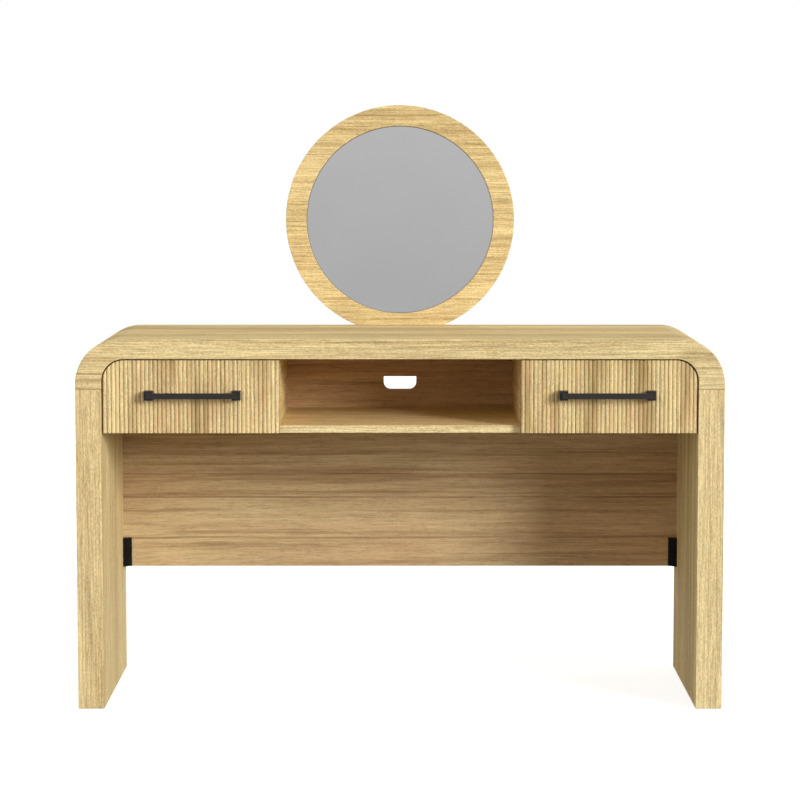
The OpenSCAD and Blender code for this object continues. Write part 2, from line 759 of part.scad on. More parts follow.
module bumpers() color(bumper_clear) in_frame()
    for (p = [[partition_mid, box_z0 + bumper_low], [partition_mid, box_z1 + bumper_high],
        [front_mid_x, shelf_mid]])
        translate([p[0], front_back + bumper_t, p[1]]) rotate([90, 0, 0])
            cylinder(r1 = bumper_r - bumper_taper, r2 = bumper_r, h = bumper_t);

module left_drawer_front() mirror([1, 0, 0]) drawer_front();
module left_drawer_side_outer() mirror([1, 0, 0]) drawer_side_outer();
module left_drawer_side_inner() mirror([1, 0, 0]) drawer_side_inner();
module left_drawer_back() mirror([1, 0, 0]) drawer_back();
module left_drawer_bottom() mirror([1, 0, 0]) drawer_bottom();
module left_drawer_handle() mirror([1, 0, 0]) drawer_handle();
module left_handle_screws() mirror([1, 0, 0]) handle_screws();
module left_drawer_dowels() mirror([1, 0, 0]) drawer_dowels();
module left_runner_outer() mirror([1, 0, 0]) member(true);
module left_runner_inner() mirror([1, 0, 0]) member(false);
module left_runner_screws() mirror([1, 0, 0]) runner_screw_set();
module left_bumpers() mirror([1, 0, 0]) bumpers();
module left_cage_outer() mirror([1, 0, 0]) cage(true);
module left_cage_inner() mirror([1, 0, 0]) cage(false);
module left_balls() mirror([1, 0, 0]) balls();

module right_drawer_front() drawer_front();
module right_drawer_side_outer() drawer_side_outer();
module right_drawer_side_inner() drawer_side_inner();
module right_drawer_back() drawer_back();
module right_drawer_bottom() drawer_bottom();
module right_drawer_handle() drawer_handle();
module right_handle_screws() handle_screws();
module right_drawer_dowels() drawer_dowels();
module right_runner_outer() member(true);
module right_runner_inner() member(false);
module right_runner_screws() runner_screw_set();
module right_bumpers() bumpers();
module right_cage_outer() cage(true);
module right_cage_inner() cage(false);
module right_balls() balls();

tabletop();
leg_panel_left();
leg_panel_right();
shelf_board();
partition_left();
partition_right();
back_panel();
corner_bracket_left();
corner_bracket_right();
bracket_screws();
glides();
seam_dowels();
carcass_dowels();
cam_bolts();
cam_locks();
carcass_screws();
mirror_ring();
mirror_glass();
mirror_backing();
backing_clips();
clip_screws();
mirror_strap_left();
mirror_strap_right();
strap_screws();
channel_left_outer();
channel_left_inner();
channel_right_inner();
channel_right_outer();
channel_screws();
left_drawer_front();
left_drawer_side_outer();
left_drawer_side_inner();
left_drawer_back();
left_drawer_bottom();
left_drawer_handle();
left_handle_screws();
left_drawer_dowels();
left_runner_outer();
left_runner_inner();
left_runner_screws();
left_bumpers();
left_cage_outer();
left_cage_inner();
left_balls();
right_drawer_front();
right_drawer_side_outer();
right_drawer_side_inner();
right_drawer_back();
right_drawer_bottom();
right_drawer_handle();
right_handle_screws();
right_drawer_dowels();
right_runner_outer();
right_runner_inner();
right_runner_screws();
right_bumpers();
right_cage_outer();
right_cage_inner();
right_balls();
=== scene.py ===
import json
import math

import bpy
import numpy as np
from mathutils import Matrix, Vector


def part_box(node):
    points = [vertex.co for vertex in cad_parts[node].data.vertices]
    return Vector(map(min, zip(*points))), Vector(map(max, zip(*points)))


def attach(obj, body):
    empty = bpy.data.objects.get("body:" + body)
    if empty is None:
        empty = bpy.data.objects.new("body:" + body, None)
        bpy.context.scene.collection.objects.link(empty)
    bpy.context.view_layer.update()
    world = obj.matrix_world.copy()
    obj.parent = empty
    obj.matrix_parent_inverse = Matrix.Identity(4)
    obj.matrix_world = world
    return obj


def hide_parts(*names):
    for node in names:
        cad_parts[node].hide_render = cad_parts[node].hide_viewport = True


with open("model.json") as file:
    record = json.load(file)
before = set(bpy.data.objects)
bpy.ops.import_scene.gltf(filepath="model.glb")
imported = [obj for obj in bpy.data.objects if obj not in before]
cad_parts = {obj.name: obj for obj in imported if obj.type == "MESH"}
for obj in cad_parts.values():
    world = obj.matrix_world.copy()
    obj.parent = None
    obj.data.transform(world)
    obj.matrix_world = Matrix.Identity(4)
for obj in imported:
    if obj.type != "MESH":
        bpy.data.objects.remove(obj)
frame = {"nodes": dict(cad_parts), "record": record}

scene = bpy.context.scene
cadNodes = frame["nodes"]
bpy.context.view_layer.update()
print("frame:", len(cadNodes), "nodes")


# Camera at eye height in front of the table, tilted down to its middle; tilt in degrees, lens in millimetres
cameraSettings = {"place": (0.0, -5.523, 1.126), "tilt": 5.354, "lens": 119.97}


def addCamera(settings):
    data = bpy.data.cameras.new("camera")
    data.lens = settings["lens"]
    camera = bpy.data.objects.new("camera", data)
    camera.location = settings["place"]
    camera.rotation_euler = (math.radians(90 - settings["tilt"]), 0, 0)
    scene.collection.objects.link(camera)
    scene.camera = camera


addCamera(cameraSettings)
print("camera ready")


# A new piece made of rows of points. Each row is a closed loop, and quads join it to the next row. An open
# run of rows is closed by one flat face at each end. Each quad makes a small solid with the middle of all
# points: where the signed volumes of these add up to less than nothing, all faces are turned round to point
# out. Edges that turn by more than sharpAngle degrees stay sharp.
def rowSurface(name, rows, closedRun=False, sharpAngle=35):
    count, around = rows.shape[:2]
    index = np.arange(count * around).reshape(count, around)
    nextRow = np.roll(index, -1, axis=0)
    if not closedRun:
        index, nextRow = index[:-1], nextRow[:-1]
    quads = np.stack([index, nextRow, np.roll(nextRow, -1, axis=1), np.roll(index, -1, axis=1)], axis=-1)
    faces = quads.reshape(-1, 4).tolist()
    if not closedRun:
        faces += [list(range(around)), list(range(count * around - 1, (count - 1) * around - 1, -1))]
    points = rows.reshape(-1, 3)
    corner = points[quads.reshape(-1, 4)] - points.mean(axis=0)
    normal = np.cross(corner[:, 1], corner[:, 2]) + np.cross(corner[:, 2], corner[:, 3])
    if np.sum(corner[:, 0] * normal) < 0:
        faces = [face[::-1] for face in faces]
    mesh = bpy.data.meshes.new(name)
    mesh.from_pydata(points.tolist(), [], faces)
    mesh.shade_smooth()
    mesh.set_sharp_from_angle(angle=math.radians(sharpAngle))
    piece = bpy.data.objects.new(name, mesh)
    scene.collection.objects.link(piece)
    return piece


# Writes the vector that the veneer follows into each face corner: the first set of vectors for quads in the
# columns that are marked as bent, the second set for all other faces
def veneerVectors(piece, bentVectors, flatVectors, bentColumns):
    mesh = piece.data
    corners = np.empty(len(mesh.loops), dtype=np.int64)
    mesh.loops.foreach_get("vertex_index", corners)
    sizes = np.empty(len(mesh.polygons), dtype=np.int64)
    mesh.polygons.foreach_get("loop_total", sizes)
    faceColumn = np.arange(len(sizes)) % len(bentColumns)
    bent = np.repeat(bentColumns[faceColumn] & (sizes == 4), sizes)
    onBent, onFlat = bentVectors.reshape(-1, 3)[corners], flatVectors.reshape(-1, 3)[corners]
    vectors = np.where(bent[:, None], onBent, onFlat)
    attribute = mesh.attributes.new("veneer", "FLOAT_VECTOR", "CORNER")
    attribute.data.foreach_set("vector", vectors.astype(np.float32).ravel())


def finishPiece(piece, body, slot, *nodes):
    normals = piece.modifiers.new("normals", "WEIGHTED_NORMAL")
    normals.keep_sharp = True
    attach(piece, body)
    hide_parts(*nodes)


# Quarter round of an eased edge: how far it lies inside each of the two faces that it joins
def easedEdge(radius, steps):
    turn = np.linspace(0, math.pi / 2, steps + 1)
    return radius * (1 - np.cos(turn)), radius * (1 - np.sin(turn))


# Sizes in metres; grainApart keeps the veneer pattern of the underside away from that of the upper face
topSettings = {"outerRadius": 0.09, "innerRadius": 0.045, "ease": 0.0012, "easeSteps": 4, "cornerSteps": 28,
               "grainApart": 0.05}


# Top with its two bent corners, as one band. The outer and the inner line each run up from the left seam,
# round a quarter circle, straight across, round the other quarter circle and down to the right seam. At each
# station the section is a loop: front face, underside, rear face and upper face, with eased edges. The
# veneer follows the length along the outer line on the upper face and underside, and x on the other faces.
def makeTop(settings):
    low, high = (np.array(corner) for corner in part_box("tabletop"))
    innerX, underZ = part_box("leg_panel_right")[0].x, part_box("back_panel")[1].z
    depth = high[1] - low[1]
    turns = np.linspace(math.pi, math.pi / 2, settings["cornerSteps"] + 1)
    around = np.stack([np.cos(turns), np.sin(turns)], axis=1)
    back, deep = easedEdge(settings["ease"], settings["easeSteps"])
    seamInset, seamRise = back[::-1], deep[::-1]

    def line(halfWidth, topZ, radius):
        foot = np.stack([np.full(len(seamRise), -halfWidth), low[2] + seamRise], axis=1)
        left = np.concatenate([foot, np.array([radius - halfWidth, topZ - radius]) + radius * around])
        away = np.concatenate([np.tile([-1.0, 0.0], (len(foot), 1)), around])
        return np.concatenate([left, left[::-1] * [-1, 1]]), np.concatenate([away, away[::-1] * [-1, 1]])

    outer, outerAway = line(high[0], high[2], settings["outerRadius"])
    inner, innerAway = line(innerX, underZ, settings["innerRadius"])
    inset = np.concatenate([seamInset, np.zeros(2 * len(turns)), seamInset[::-1]])[:, None]
    isOuter = np.repeat([True, False, False, True], len(back))
    sink = np.concatenate([back, back[::-1], back, back[::-1]])
    y = np.concatenate([deep, deep[::-1], depth - deep, depth - deep[::-1]])
    base = np.where(isOuter[:, None], outer[:, None], inner[:, None])
    away = np.where(isOuter[:, None], outerAway[:, None], -innerAway[:, None])
    place = base - away * (sink + inset)[:, :, None]
    y = depth / 2 + (y - depth / 2) * (1 - 2 * inset / depth)
    rows = np.stack([place[..., 0], low[1] + y, place[..., 1]], axis=-1)
    piece = rowSurface("top_band", rows)
    length = np.concatenate([[0], np.cumsum(np.linalg.norm(np.diff(outer, axis=0), axis=1))]) - high[0]
    bent = np.stack(np.broadcast_arrays(length[:, None], y, settings["grainApart"] * isOuter), axis=-1)
    face, step = np.divmod(np.arange(len(sink)), len(back))
    bentColumns = (step == len(back) - 1) & (face % 2 == 1)
    veneerVectors(piece, bent, rows[..., [0, 2, 1]], bentColumns)
    finishPiece(piece, "root", "oak_top", "tabletop")
    return piece


frontSettings = {"reeds": 42, "rise": 0.0025, "cornerRadius": 0.0425, "reedSteps": 10, "cornerSteps": 10,
                 "ease": 0.0008, "easeSteps": 3, "middleSteps": 6}


# Reeded drawer front. Across the front the surface is a row of equal circular arcs; each column of points
# runs from the lower edge to the upper edge, which drops on a quarter circle at the outer corner, and both
# ends of a reed are eased. Two more points on the rear face close each column into a loop.
def makeFront(side, settings):
    low, high = (np.array(corner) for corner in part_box(side + "_drawer_front"))
    sign = 1 if side == "right" else -1
    start, end = sorted((abs(low[0]), abs(high[0])))
    pitch, rise, radius = (end - start) / settings["reeds"], settings["rise"], settings["cornerRadius"]
    reedRadius = (pitch * pitch / 4 + rise * rise) / (2 * rise)
    widest = math.asin(pitch / 2 / reedRadius)
    across = pitch / 2 + reedRadius * np.sin(np.linspace(-widest, widest, settings["reedSteps"] + 1)[:-1])
    reedX = (start + np.arange(settings["reeds"])[:, None] * pitch + across).ravel()
    # more columns in the steep half of the corner, all put in order, and none twice
    cornerX = end - radius + radius * np.sin(np.linspace(0.5, 1, settings["cornerSteps"]) * math.pi / 2)
    x = np.unique(np.round(np.concatenate([reedX, cornerX, [end]]), 7))
    offset = (x - start) % pitch - pitch / 2
    offset[-1] = pitch / 2
    crest = np.sqrt(reedRadius ** 2 - offset ** 2) - (reedRadius - rise)
    topZ = high[2] - radius + np.sqrt(np.maximum(radius ** 2 - np.maximum(x - end + radius, 0) ** 2, 0))
    back, deep = easedEdge(settings["ease"], settings["easeSteps"])
    share = np.linspace(0, 1, settings["middleSteps"] + 1)[None, 1:-1]
    bottomZ = low[2] + deep[None, ::-1] + np.zeros((len(x), 1))
    upperZ = topZ[:, None] - deep[None, :]
    middleZ = bottomZ[:, -1:] + share * (upperZ[:, :1] - bottomZ[:, -1:])
    z = np.concatenate([bottomZ, middleZ, upperZ, topZ[:, None], np.full((len(x), 1), low[2])], axis=1)
    sink = np.concatenate([back[::-1], np.zeros(share.shape[1]), back])
    y = low[1] + rise - crest[:, None] + sink[None, :]
    y = np.concatenate([y, np.full((len(x), 2), high[1])], axis=1)
    rows = np.stack([np.broadcast_to(sign * x[:, None], y.shape), y, z], axis=-1)
    piece = rowSurface(side + "_reeded_front", rows)
    finishPiece(piece, side + "_drawer", "oak_front", side + "_drawer_front")
    return piece


ringSettings = {"width": 0.044, "lip": 0.005, "rebate": 0.006, "ease": 0.001, "easeSteps": 4,
                "turnSteps": 240}


# Mirror ring: its section, a flat band with a lip in front of the glass, is carried round the circle. Where
# the ring stands on the top, its outer edge is the straight chord: radius = drop / cos(angle from down).
def makeRing(settings):
    low, high = (np.array(corner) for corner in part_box("mirror_ring"))
    outerRadius, thick = (high[0] - low[0]) / 2, high[1] - low[1]
    centreZ = high[2] - outerRadius
    drop = centreZ - low[2]
    chordTurn = math.acos(drop / outerRadius)
    turn = np.linspace(-math.pi, math.pi, settings["turnSteps"] + 1)[:-1]
    turn = np.sort(np.concatenate([turn, [-chordTurn, chordTurn]]))[:, None]
    onChord = np.abs(turn) < chordTurn
    outer = np.where(onChord, drop / np.cos(np.where(onChord, turn, 0)), outerRadius)
    sight = outerRadius - settings["width"]
    rebate, lip = sight + settings["rebate"], settings["lip"]
    back, deep = easedEdge(settings["ease"], settings["easeSteps"])
    # the section, from the rear outer edge round the front to the rebate
    rim = outer - np.concatenate([back[::-1], back])
    inside = np.concatenate([sight + back[::-1], [sight, rebate, rebate]])
    radius = np.concatenate([rim, np.tile(inside, (len(turn), 1))], axis=1)
    y = np.concatenate([thick - deep[::-1], deep, deep[::-1], [lip, lip, thick]])
    x, z = radius * np.sin(turn), centreZ - radius * np.cos(turn)
    rows = np.stack([x, np.broadcast_to(low[1] + y, x.shape), z], axis=-1)
    piece = rowSurface("mirror_frame", rows, closedRun=True)
    # on the rim, the inner edge and the back of the lip the veneer runs round the ring
    bent = np.stack(np.broadcast_arrays(turn * outerRadius, y, 0.0), axis=-1)
    bentColumns = np.isin(np.arange(len(y)), [len(back) - 1, 3 * len(back) - 1, 3 * len(back)])
    veneerVectors(piece, bent, rows[..., [0, 2, 1]], bentColumns)
    finishPiece(piece, "root", "oak_ring", "mirror_ring")
    return piece


newPieces = {"top": makeTop(topSettings), "leftFront": makeFront("left", frontSettings),
             "rightFront": makeFront("right", frontSettings), "ring": makeRing(ringSettings)}
print("new pieces:", len(newPieces))


# Colour written as it looks on a screen, 0 to 255, turned by the sRGB curve into the values that shaders use
def screenColour(red, green, blue):
    share = np.array([red, green, blue]) / 255
    linear = np.where(share > 0.04045, ((share + 0.055) / 1.055) ** 2.4, share / 12.92)
    return (*[float(value) for value in linear], 1.0)


# Adds a shader node; an input given as a socket is linked, any other input is set as a value
def addNode(tree, kind, inputs, **properties):
    node = tree.nodes.new("ShaderNode" + kind)
    for key, value in properties.items():
        setattr(node, key, value)
    for key, value in inputs.items():
        if isinstance(value, bpy.types.NodeSocket):
            tree.links.new(value, node.inputs[key])
        else:
            node.inputs[key].default_value = value
    return node


def mixColour(tree, factor, first, second, blend="MIX"):
    mix = addNode(tree, "Mix", {0: factor, 6: first, 7: second}, data_type="RGBA", blend_type=blend)
    return mix.outputs[2]


# Works out a new value from one, or joins two and more by the same operation from left to right
def calculate(tree, operation, first, *others):
    if not others:
        return addNode(tree, "Math", {0: first}, operation=operation).outputs[0]
    for other in others:
        first = addNode(tree, "Math", {0: first, 1: other}, operation=operation).outputs[0]
    return first


# Sum of values, each times its weight, from (value, weight) pairs
def weightedSum(tree, *pairs):
    return calculate(tree, "ADD", *[calculate(tree, "MULTIPLY", value, weight) for value, weight in pairs])


# The same for vectors; scaling takes a number as its second value
def calculateVector(tree, operation, first, second):
    key = "Scale" if operation == "SCALE" else 1
    return addNode(tree, "VectorMath", {0: first, key: second}, operation=operation).outputs[0]


def remap(tree, value, low, high, newLow=0.0, newHigh=1.0):
    inputs = {"Value": value, "From Min": low, "From Max": high, "To Min": newLow, "To Max": newHigh}
    return addNode(tree, "MapRange", inputs).outputs["Result"]


# Noise whose cells are 1/stretch metres long on each axis
def stretchedNoise(tree, vector, stretch, detail=2.0, roughness=0.5):
    scaled = calculateVector(tree, "MULTIPLY", vector, stretch)
    inputs = {"Vector": scaled, "Scale": 1.0, "Detail": detail, "Roughness": roughness}
    return addNode(tree, "TexNoise", inputs).outputs["Fac"]


# Such a noise, of which the values from low to high are spread over newLow to newHigh
def noiseLayer(tree, vector, stretch, low=0.3, high=0.7, newLow=0.0, newHigh=1.0, detail=2.0, roughness=0.5):
    noise = stretchedNoise(tree, vector, stretch, detail, roughness)
    return remap(tree, noise, low, high, newLow, newHigh)


def objectVector(tree):
    return addNode(tree, "TexCoord", {}).outputs["Object"]


def splitVector(tree, vector):
    return addNode(tree, "SeparateXYZ", {0: vector}).outputs


def newGroup(name, inputs, outputs):
    group = bpy.data.node_groups.new(name, "ShaderNodeTree")
    for socket, kind in inputs.items():
        group.interface.new_socket(socket, in_out="INPUT", socket_type="NodeSocket" + kind)
    for socket, kind in outputs.items():
        group.interface.new_socket(socket, in_out="OUTPUT", socket_type="NodeSocket" + kind)
    return group, group.nodes.new("NodeGroupInput").outputs, group.nodes.new("NodeGroupOutput").inputs


surfaceOutputs = {"Color": "Color", "Roughness": "Float", "Height": "Float"}

# The veneer's patterns, in cells per metre along the grain and across it. Wanders swing the whole pattern
# sideways by up to reach metres. Tints are the share of each layer in the turn from pale to warm. Each shade
# is the change of brightness where its layer is lowest and where it is highest.
veneerSettings = {
    "seedStep": (1.7, 2.3, 3.1),
    "wanders": [{"stretch": (0.6, 3, 3), "reach": 0.008}, {"stretch": (5, 26, 26), "reach": 0.0005}],
    "layers": {"band": {"stretch": (0.4, 11, 11), "low": 0.36, "high": 0.64, "detail": 0.5},
               "cloud": {"stretch": (2, 46, 46), "low": 0.38, "high": 0.62},
               "line": {"stretch": (9, 380, 380), "roughness": 0.6},
               "fleck": {"stretch": (180, 800, 800), "detail": 1.0},
               "pore": {"stretch": (30, 850, 850), "low": 0.56, "high": 0.68, "detail": 1.0},
               "patch": {"stretch": (1.6, 5, 5), "low": 0.36, "high": 0.64, "detail": 1.0}},
    "streak": {"stretch": (1.1, 135, 135), "detail": 3.0, "roughness": 0.6},
    "darkStreak": (0.5, 0.7), "lightStreak": (0.46, 0.3, 0, 0.09),
    "tints": {"band": 0.35, "cloud": 0.25, "patch": 0.4},
    "bandShade": (0.15, -0.15), "lineShade": (-0.24, 0.22), "fleckShade": (-0.2, 0.2),
    "poreTint": (0.6, 0.52, 0.42, 1), "roughness": (0.6, 0.72), "poreRoughness": 0.15, "lineHeight": 0.35}


# Straight-grained oak veneer. The grain runs along X of the vector, and all its patterns are noises
# stretched along X. Broad bands, tint clouds and wide patches turn the colour from pale to warm, and growth
# streaks turn it dark. Bands, clouds, lines and short flecks then lighten or darken it, and fine pores lie
# over them.
def buildVeneerGroup(settings):
    group, given, made = newGroup(
        "oakVeneer",
        {"Vector": "Vector", "Pale": "Color", "Warm": "Color", "Dark": "Color", "Bands": "Float",
         "Streaks": "Float", "Lines": "Float", "Flecks": "Float", "Pores": "Float", "Seed": "Float"},
        surfaceOutputs)

    def times(value, amount):
        return calculate(group, "MULTIPLY", value, given[amount])

    shift = calculateVector(group, "SCALE", settings["seedStep"], given["Seed"])
    seeded = calculateVector(group, "ADD", given["Vector"], shift)
    wanders = [noiseLayer(group, seeded, row["stretch"], 0, 1, -row["reach"], row["reach"])
               for row in settings["wanders"]]
    wander = calculate(group, "ADD", *wanders)
    sideways = addNode(group, "CombineXYZ", {"Y": wander, "Z": wander}).outputs[0]
    warped = calculateVector(group, "ADD", seeded, sideways)
    layers = {name: noiseLayer(group, warped, **values) for name, values in settings["layers"].items()}
    streak = stretchedNoise(group, warped, **settings["streak"])
    tint = weightedSum(group, *[(layers[name], share) for name, share in settings["tints"].items()])
    colour = mixColour(group, times(tint, "Bands"), given["Pale"], given["Warm"])
    darkStreak = times(remap(group, streak, *settings["darkStreak"]), "Streaks")
    colour = mixColour(group, darkStreak, colour, given["Dark"])
    lightStreak = times(remap(group, streak, *settings["lightStreak"]), "Streaks")
    bandTone = calculate(group, "ADD", layers["band"], layers["cloud"])
    bandShade = times(remap(group, bandTone, 0, 2, *settings["bandShade"]), "Bands")
    lineShade = times(remap(group, layers["line"], 0, 1, *settings["lineShade"]), "Lines")
    fleckShade = times(remap(group, layers["fleck"], 0, 1, *settings["fleckShade"]), "Flecks")
    fineShade = calculate(group, "ADD", lineShade, fleckShade)
    shade = calculate(group, "ADD", 1.0, lightStreak, bandShade, fineShade)
    colour = calculateVector(group, "SCALE", colour, shade)
    poreColour = mixColour(group, 1.0, given["Dark"], settings["poreTint"], "MULTIPLY")
    group.links.new(mixColour(group, times(layers["pore"], "Pores"), colour, poreColour), made["Color"])
    roughness = remap(group, layers["line"], 0, 1, *settings["roughness"])
    poreRoughness = calculate(group, "MULTIPLY", layers["pore"], settings["poreRoughness"])
    group.links.new(calculate(group, "ADD", roughness, poreRoughness), made["Roughness"])
    lineHeight = calculate(group, "MULTIPLY", layers["line"], settings["lineHeight"])
    group.links.new(calculate(group, "SUBTRACT", lineHeight, layers["pore"]), made["Height"])
    return group


# Noises of the swing and of the weak stretches, and the run in metres over which an end comes in
grainLineSettings = {"swing": {"stretch": (5, 0.5, 3), "detail": 3.0},
                     "weak": {"stretch": (4, 0.5, 30), "low": 0.6, "high": 0.4}, "endRun": 0.02}


# One dark line at a height Place, used both for lines in the wood and for lines of painted shade, from one X
# to another, where it ends within a short run. It wanders a little: its mask is 1 less
# |z + swing * Wander - Place| / Width, so Width is half the width at which it has faded out, and a slow noise
# along it lets it fade and come back.
def buildGrainLineGroup(settings):
    group, given, made = newGroup(
        "grainLine",
        {"Vector": "Vector", "Place": "Float", "Width": "Float", "Wander": "Float",
         "From": "Float", "To": "Float", "Fade": "Float"},
        {"Mask": "Float"})
    place = splitVector(group, given["Vector"])
    swing = calculate(group, "SUBTRACT", stretchedNoise(group, given["Vector"], **settings["swing"]), 0.5)
    height = calculate(group, "ADD", place["Z"], calculate(group, "MULTIPLY", swing, given["Wander"]))
    away = calculate(group, "ABSOLUTE", calculate(group, "SUBTRACT", height, given["Place"]))
    mask = calculate(group, "SUBTRACT", 1.0, calculate(group, "DIVIDE", away, given["Width"]))
    pastStart = calculate(group, "SUBTRACT", place["X"], given["From"])
    beforeEnd = calculate(group, "SUBTRACT", given["To"], place["X"])
    ends = [calculate(group, "DIVIDE", value, settings["endRun"]) for value in (pastStart, beforeEnd)]
    within = calculate(group, "MAXIMUM", calculate(group, "MINIMUM", *ends, 1.0), 0.0)
    weak = noiseLayer(group, given["Vector"], **settings["weak"])
    fade = calculate(group, "SUBTRACT", 1.0, calculate(group, "MULTIPLY", weak, given["Fade"]))
    shown = calculate(group, "MULTIPLY", calculate(group, "MAXIMUM", mask, 0.0), within, fade)
    group.links.new(shown, made["Mask"])
    return group


drawnMetalSettings = {"line": {"stretch": (25, 1800, 1800)},
                      "cloud": {"stretch": (90, 90, 90), "detail": 3.0},
                      "dullTint": (0.82, 0.82, 0.83, 1), "cloudShare": 0.4,
                      "cloudRoughness": 0.14, "lineRoughness": 0.1}


# Metal with drawn lines along X of the vector and fine cloudy spots. Both dull the tone and roughen it, and
# the lines lift the surface.
def buildDrawnMetalGroup(settings):
    group, given, made = newGroup(
        "drawnMetal",
        {"Vector": "Vector", "Tone": "Color", "Smooth": "Float", "Lines": "Float"},
        surfaceOutputs)
    line = noiseLayer(group, given["Vector"], **settings["line"])
    cloud = noiseLayer(group, given["Vector"], **settings["cloud"])
    dull = mixColour(group, 1.0, given["Tone"], settings["dullTint"], "MULTIPLY")
    shade = calculate(group, "MULTIPLY", line, given["Lines"])
    colour = mixColour(group, shade, given["Tone"], dull)
    clouded = calculate(group, "MULTIPLY", cloud, settings["cloudShare"])
    group.links.new(mixColour(group, clouded, colour, dull), made["Color"])
    rough = weightedSum(group, (cloud, settings["cloudRoughness"]), (shade, settings["lineRoughness"]))
    group.links.new(calculate(group, "ADD", given["Smooth"], rough), made["Roughness"])
    group.links.new(shade, made["Height"])
    return group


grainedCoatSettings = {"grainDetail": {"detail": 2.0, "roughness": 0.6}, "cloud": {"stretch": (35, 35, 35)},
                       "grainShare": 0.45, "cloudShare": 0.3, "roughness": (0.42, 0.58)}


# Sprayed or moulded coat: small soft grains that lift the surface and lighten it where they rise, and wider
# pale clouds
def buildGrainedCoatGroup(settings):
    group, given, made = newGroup(
        "grainedCoat",
        {"Vector": "Vector", "Tone": "Color", "Light": "Color", "Grain": "Float"},
        surfaceOutputs)
    stretch = addNode(group, "CombineXYZ", {axis: given["Grain"] for axis in "XYZ"}).outputs[0]
    grain = noiseLayer(group, given["Vector"], stretch, **settings["grainDetail"])
    cloud = noiseLayer(group, given["Vector"], **settings["cloud"])
    lifted = calculate(group, "MULTIPLY", grain, settings["grainShare"])
    clouded = calculate(group, "MULTIPLY", cloud, settings["cloudShare"])
    colour = mixColour(group, lifted, given["Tone"], given["Light"])
    group.links.new(mixColour(group, clouded, colour, given["Light"]), made["Color"])
    group.links.new(remap(group, grain, 0, 1, *settings["roughness"]), made["Roughness"])
    group.links.new(grain, made["Height"])
    return group


groups = {"oakVeneer": buildVeneerGroup(veneerSettings), "grainLine": buildGrainLineGroup(grainLineSettings),
          "drawnMetal": buildDrawnMetalGroup(drawnMetalSettings),
          "grainedCoat": buildGrainedCoatGroup(grainedCoatSettings)}
print("shader groups:", len(groups))


# Starts a material: returns it with its tree, its main shader and the vector that patterns read,
# turned so that X of the vector runs along the given axis of the object
def startMaterial(name, along="X", grainScale=(1, 1, 1)):
    material = bpy.data.materials.new(name)
    material.use_nodes = True
    tree = material.node_tree
    turns = {"X": (0, 0, 0), "Y": (0, 0, math.radians(-90)), "Z": (0, math.radians(90), 0)}
    inputs = {"Vector": objectVector(tree), "Rotation": turns[along], "Scale": grainScale}
    vector = addNode(tree, "Mapping", inputs, vector_type="POINT").outputs[0]
    return material, tree, tree.nodes["Principled BSDF"], vector


def placeGroup(tree, groupName, inputs):
    return addNode(tree, "Group", inputs, node_tree=groups[groupName]).outputs


# Places a pattern group and joins its colour, roughness and height to the shader;
# each of the recolours changes the colour on its way
def finishSurface(tree, shader, groupName, inputs, relief, recolours=()):
    made = placeGroup(tree, groupName, inputs)
    colour = made["Color"]
    for recolour in recolours:
        colour = recolour(tree, colour)
    tree.links.new(colour, shader.inputs["Base Color"])
    tree.links.new(made["Roughness"], shader.inputs["Roughness"])
    bump = addNode(tree, "Bump", {"Height": made["Height"], "Distance": relief})
    tree.links.new(bump.outputs[0], shader.inputs["Normal"])


oakTones = {
    "plain": {"Pale": (229, 211, 160), "Warm": (224, 197, 145), "Dark": (176, 145, 92)},
    "top": {"Pale": (230, 214, 164), "Warm": (226, 202, 149), "Dark": (176, 145, 92)},
    "leg": {"Pale": (226, 208, 158), "Warm": (214, 186, 134), "Dark": (168, 136, 84)},
    "back": {"Pale": (202, 180, 137), "Warm": (209, 160, 118), "Dark": (134, 94, 56)},
    "ring": {"Pale": (226, 205, 151), "Warm": (214, 184, 127), "Dark": (172, 140, 84)}}
lineDark = screenColour(132, 100, 58)
backDark = screenColour(112, 76, 44)

# Lines that stand out in single boards: lines in the wood, and the lines of painted shade marked below. Each
# row starts with the line's depth, which is how dark it is, and then gives the inputs of the grain line
# group in this order, in metres apart from the fade.
lineInputs = ("Place", "Width", "Wander", "From", "To", "Fade")
grainAndShadeLines = {
    # the first line is painted shade in the seam between the top and the legs
    "top": [(0.6, 0.6504, 0.0016, 0.0, -0.7, 0.7, 0.0),
            (1.0, 0.6806, 0.0018, 0.0, -0.67, -0.58, 0.2),
            (0.3, 0.666, 0.022, 0.004, -0.67, -0.58, 0.3),
            (0.15, 0.712, 0.024, 0.006, -0.67, -0.55, 0.3),
            (0.38, 0.712, 0.024, 0.006, 0.55, 0.67, 0.3),
            (0.35, 0.666, 0.014, 0.012, 0.59, 0.67, 0.5),
            (0.3, 0.690, 0.005, 0.012, 0.57, 0.67, 0.5)],
    # painted shade in the seam under the top
    "leg": [(0.5, 0.6496, 0.0016, 0.0, -0.7, 0.7, 0.0)],
    "ring": [(0.15, 1.2050, 0.04, 0.020, -0.16, 0.14, 0.3),
             (0.35, 0.7800, 0.04, 0.010, -0.16, 0.16, 0.3),
             (0.8, 1.2005, 0.0026, 0.003, -0.11, 0.09, 0.3),
             (0.8, 0.8066, 0.0026, 0.003, -0.18, 0.19, 0.3),
             (0.45, 1.0172, 0.010, 0.010, 0.19, 0.25, 0.5),
             (0.5, 0.9207, 0.006, 0.006, 0.18, 0.25, 0.4),
             (0.35, 0.9150, 0.004, 0.006, -0.25, -0.18, 0.5)],
    "back": [(0.7, 0.4301, 0.0026, 0.006, -0.62, 0.62, 0.6),
             (0.75, 0.3801, 0.0026, 0.006, -0.62, 0.62, 0.6),
             (0.5, 0.2929, 0.0026, 0.005, -0.62, 0.62, 0.6),
             (0.4, 0.4740, 0.004, 0.016, -0.36, 0.20, 0.6),
             (0.3, 0.3000, 0.010, 0.016, -0.25, 0.45, 0.6),
             # the last line is a broad painted shade across the middle of the back panel
             (0.25, 0.4030, 0.09, 0.020, -0.62, 0.62, 0.4)]}
